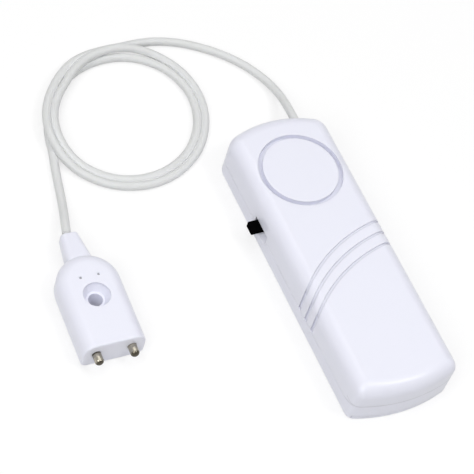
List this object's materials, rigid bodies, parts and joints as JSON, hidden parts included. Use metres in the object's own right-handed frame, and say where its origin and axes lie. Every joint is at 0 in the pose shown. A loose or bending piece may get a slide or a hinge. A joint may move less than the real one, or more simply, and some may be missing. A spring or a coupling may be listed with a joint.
{
  "type": "water level alarm",
  "caption": "Flat white battery alarm with a sounder ring, a side slide switch and a sliding battery door, joined by a thin coiled cable to a screw-down water probe with two metal pins.",
  "frame": {"origin": "middle of the flat back face of the alarm's case, which lies on the surface", "axes": "+Z out of the front face with the sounder ring, +Y along the case towards the end where the cable comes out, +X to the right seen from the front; the switch is on the -X side, and the probe lies beside the case at -X"},
  "size_m": [0.0937, 0.1371, 0.0144],
  "materials": {
    "case_white": "satin moulded ABS",
    "switch_black": "fine spark texture",
    "cable_grey": "smooth soft PVC",
    "pin_nickel": "polished nickel plate",
    "screw_zinc": "bright zinc plate",
    "switch_steel": "tinned sheet",
    "contact_nickel": "nickel-plated spring sheet",
    "cell_steel": "satin can",
    "board_laminate": "phenolic paper laminate",
    "resin_black": "cured resin",
    "ferrite": "pressed ferrite",
    "copper_enamel": "enamelled copper wire",
    "epoxy_black": "moulded epoxy",
    "sleeve_dark": "shrink sleeve",
    "resistor_tan": "lacquered body",
    "disc_brass": "rolled sheet",
    "disc_ceramic": "silvered ceramic",
    "wire_red": "PVC insulation",
    "wire_black": "PVC insulation",
    "wire_white": "PVC insulation",
    "tie_nylon": "natural nylon",
    "base_phenolic": "phenolic sheet"
  },
  "bodies": {
    "alarm": {"front_shell": "case_white", "rear_shell": "case_white", "button_cells": "cell_steel", "battery_contacts": "contact_nickel", "circuit_board": "board_laminate", "switch_can": "switch_steel", "switch_base": "base_phenolic", "switch_terminals": "contact_nickel", "board_screws": "screw_zinc", "case_screws": "screw_zinc", "chip_drop": "resin_black", "coil_core": "ferrite", "coil_winding": "copper_enamel", "drive_transistor": "epoxy_black", "capacitor": "sleeve_dark", "resistors": "resistor_tan", "sounder_plate": "disc_brass", "sounder_ceramic": "disc_ceramic", "sounder_leads": "wire_black", "battery_leads": "wire_red", "case_cable_end": "cable_grey", "cable_tie": "tie_nylon", "cable_cores": "wire_white", "probe_shell": "case_white", "probe_cover": "case_white", "contact_pins": "pin_nickel", "probe_cable_end": "cable_grey", "probe_cores": "wire_white", "cable_coil": "cable_grey", "cable_probe_side": "cable_grey", "cable_case_side": "cable_grey"},
    "battery_door": {"battery_door": "case_white", "door_contact": "contact_nickel"},
    "switch_knob": {"switch_knob": "switch_black"}
  },
  "joints": [
    {"name": "battery_door_slide", "type": "slide", "parent": "alarm", "child": "battery_door", "axis": [0, -1, 0], "range_m": [0, 0.031]},
    {"name": "switch_slide", "type": "slide", "parent": "alarm", "child": "switch_knob", "axis": [0, -1, 0], "range_m": [0, 0.0027]}
  ]
}
